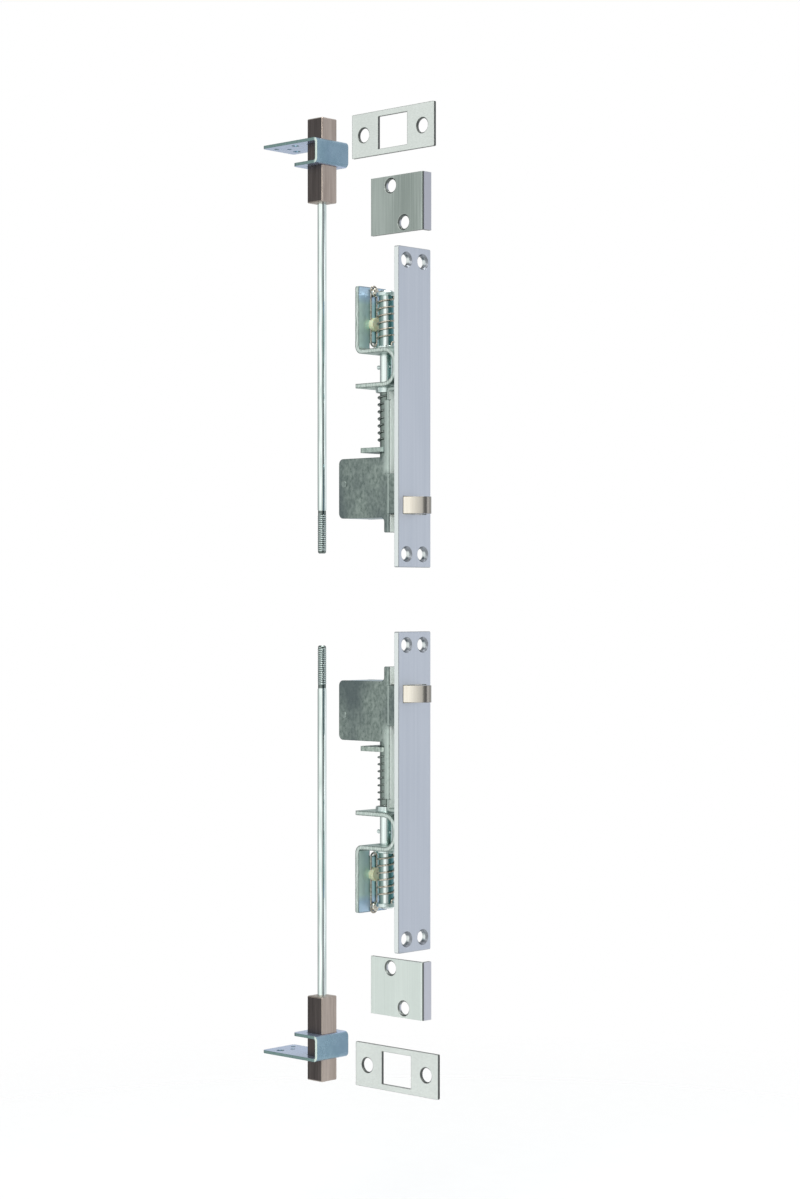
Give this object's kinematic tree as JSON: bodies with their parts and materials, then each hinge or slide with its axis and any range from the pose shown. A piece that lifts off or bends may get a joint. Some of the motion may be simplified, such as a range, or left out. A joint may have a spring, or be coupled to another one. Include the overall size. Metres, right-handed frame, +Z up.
{
  "type": "automatic flush bolt",
  "caption": "Automatic flush bolts for a pair of metal doors: a push trigger turns a lever that lifts a shaft and shoots a square bolt, with guides, strikes and rub plates.",
  "frame": {"origin": "centre of the top face plate's front face", "axes": "+X out of the door's edge, +Z up towards the top bolt, Y across the face plate"},
  "size_m": [0.1273, 0.0254, 0.5328],
  "materials": {
    "plate_satin": "satin zinc-nickel, lavender grey",
    "satin_nickel": "satin nickel, cast and polished",
    "zinc_steel": "zinc plated sheet, mottled grey green",
    "bright_zinc": "bright zinc plated bar",
    "blue_zinc": "blue passivated zinc",
    "dull_nickel": "dull nickel plated bar",
    "strike_satin": "satin stainless",
    "rub_satin": "brushed stainless",
    "spring_wire": "music wire",
    "nylon": "natural nylon, yellowed",
    "brass": "plain brass"
  },
  "bodies": {
    "frame": {"top_face_plate": "plate_satin", "top_case_body": "zinc_steel", "top_case_cover": "zinc_steel", "top_guide_strap": "zinc_steel", "top_lever_pin": "zinc_steel", "top_wire_clip": "spring_wire", "top_nylon_pad": "nylon", "top_clip_stud": "brass", "top_spring_cup": "zinc_steel", "top_return_spring": "spring_wire", "top_bolt_guide": "blue_zinc", "top_strike_plate": "strike_satin", "top_rub_plate": "rub_satin", "bottom_face_plate": "plate_satin", "bottom_case_body": "zinc_steel", "bottom_case_cover": "zinc_steel", "bottom_guide_strap": "zinc_steel", "bottom_lever_pin": "zinc_steel", "bottom_wire_clip": "spring_wire", "bottom_nylon_pad": "nylon", "bottom_clip_stud": "brass", "bottom_spring_cup": "zinc_steel", "bottom_return_spring": "spring_wire", "bottom_bolt_guide": "blue_zinc", "bottom_strike_plate": "strike_satin", "bottom_rub_plate": "rub_satin"},
    "top_trigger_group": {"top_trigger": "satin_nickel"},
    "top_lever_group": {"top_lever": "zinc_steel", "top_lever_follower": "spring_wire"},
    "top_slide_group": {"top_lift_shaft": "bright_zinc", "top_lift_plate": "zinc_steel", "top_cross_pin": "zinc_steel", "top_rod_carrier": "bright_zinc", "top_carrier_washer": "bright_zinc", "top_retaining_ring": "bright_zinc", "top_override_spring": "spring_wire"},
    "top_bolt_group": {"top_bolt_rod": "bright_zinc", "top_bolt_head": "dull_nickel"},
    "bottom_trigger_group": {"bottom_trigger": "satin_nickel"},
    "bottom_lever_group": {"bottom_lever": "zinc_steel", "bottom_lever_follower": "spring_wire"},
    "bottom_slide_group": {"bottom_lift_shaft": "bright_zinc", "bottom_lift_plate": "zinc_steel", "bottom_cross_pin": "zinc_steel", "bottom_rod_carrier": "bright_zinc", "bottom_carrier_washer": "bright_zinc", "bottom_retaining_ring": "bright_zinc", "bottom_override_spring": "spring_wire"},
    "bottom_bolt_group": {"bottom_bolt_rod": "bright_zinc", "bottom_bolt_head": "dull_nickel"}
  },
  "joints": [
    {"name": "top_trigger_push", "type": "slide", "parent": "frame", "child": "top_trigger_group", "axis": [-1, 0, 0], "range_m": [0, 0.0105], "stiffness_N_per_m": 400, "springref_m": -0.01},
    {"name": "top_lever_swing", "type": "hinge", "parent": "frame", "child": "top_lever_group", "pos_m": [-0.042, 0, -0.0402], "axis": [0, -1, 0], "range_deg": [0, 53.79]},
    {"name": "top_shaft_lift", "type": "slide", "parent": "frame", "child": "top_slide_group", "axis": [0, 0, 1], "range_m": [0, 0.019], "deforming": ["top_return_spring"]},
    {"name": "top_bolt_throw", "type": "slide", "parent": "frame", "child": "top_bolt_group", "axis": [0, 0, 1], "range_m": [0, 0.019]},
    {"name": "bottom_trigger_push", "type": "slide", "parent": "frame", "child": "bottom_trigger_group", "axis": [-1, 0, 0], "range_m": [0, 0.0105], "stiffness_N_per_m": 400, "springref_m": -0.01},
    {"name": "bottom_lever_swing", "type": "hinge", "parent": "frame", "child": "bottom_lever_group", "pos_m": [-0.042, 0, -0.1656], "axis": [0, 1, 0], "range_deg": [0, 53.79]},
    {"name": "bottom_shaft_lift", "type": "slide", "parent": "frame", "child": "bottom_slide_group", "axis": [0, 0, -1], "range_m": [0, 0.019], "deforming": ["bottom_return_spring"]},
    {"name": "bottom_bolt_throw", "type": "slide", "parent": "frame", "child": "bottom_bolt_group", "axis": [0, 0, -1], "range_m": [0, 0.019]}
  ],
  "couplings": [
    {"joint": "top_lever_swing", "follows": "top_trigger_push", "rad_per_m": 89.416},
    {"joint": "top_shaft_lift", "follows": "top_trigger_push", "ratio": 1.8095},
    {"joint": "top_bolt_throw", "follows": "top_trigger_push", "ratio": 1.8095},
    {"joint": "bottom_lever_swing", "follows": "bottom_trigger_push", "rad_per_m": 89.416},
    {"joint": "bottom_shaft_lift", "follows": "bottom_trigger_push", "ratio": 1.8095},
    {"joint": "bottom_bolt_throw", "follows": "bottom_trigger_push", "ratio": 1.8095}
  ]
}
